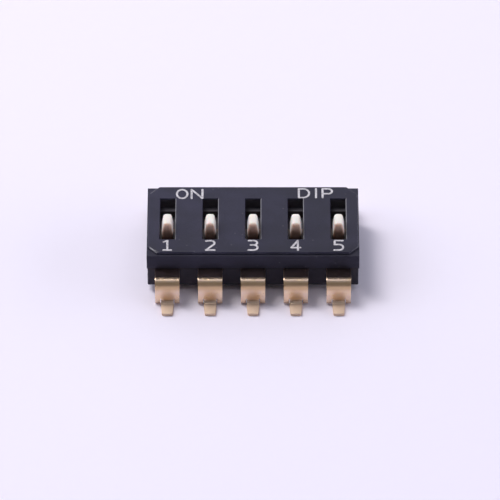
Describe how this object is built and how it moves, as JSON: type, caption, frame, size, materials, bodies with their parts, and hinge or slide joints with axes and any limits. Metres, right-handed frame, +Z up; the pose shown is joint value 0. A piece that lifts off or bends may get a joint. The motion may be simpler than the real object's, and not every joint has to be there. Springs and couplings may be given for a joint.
{
  "type": "dip switch",
  "caption": "Low black surface-mount DIP switch with a row of slide actuators and gull-wing leads along both long sides",
  "frame": {"origin": "centre of the solder plane, under the middle of the body, on the undersides of the feet", "axes": "+X along the row from position 1 to position 5, +Y towards the ON side, +Z up from the board"},
  "size_m": [0.0126, 0.0104, 0.0036],
  "materials": {
    "base": "fine matte black moulding",
    "cover": "fine matte black moulding, legend printed off-white",
    "actuator": "ivory moulding, slightly glossy",
    "contact_spring": "gold-plated spring strip",
    "lead": "gold-plated stamped strip, satin"
  },
  "bodies": {
    "housing": {"base": "base", "cover": "cover", "lead_front_1": "lead", "lead_front_2": "lead", "lead_front_3": "lead", "lead_front_4": "lead", "lead_front_5": "lead", "lead_back_1": "lead", "lead_back_2": "lead", "lead_back_3": "lead", "lead_back_4": "lead", "lead_back_5": "lead"},
    "slider_1": {"actuator_1": "actuator", "contact_spring_1": "contact_spring"},
    "slider_2": {"actuator_2": "actuator", "contact_spring_2": "contact_spring"},
    "slider_3": {"actuator_3": "actuator", "contact_spring_3": "contact_spring"},
    "slider_4": {"actuator_4": "actuator", "contact_spring_4": "contact_spring"},
    "slider_5": {"actuator_5": "actuator", "contact_spring_5": "contact_spring"}
  },
  "joints": [
    {"name": "slide_1", "type": "slide", "parent": "housing", "child": "slider_1", "axis": [0, 1, 0], "range_m": [0, 0.0015]},
    {"name": "slide_2", "type": "slide", "parent": "housing", "child": "slider_2", "axis": [0, 1, 0], "range_m": [0, 0.0015]},
    {"name": "slide_3", "type": "slide", "parent": "housing", "child": "slider_3", "axis": [0, 1, 0], "range_m": [0, 0.0015]},
    {"name": "slide_4", "type": "slide", "parent": "housing", "child": "slider_4", "axis": [0, 1, 0], "range_m": [0, 0.0015]},
    {"name": "slide_5", "type": "slide", "parent": "housing", "child": "slider_5", "axis": [0, 1, 0], "range_m": [0, 0.0015]}
  ]
}
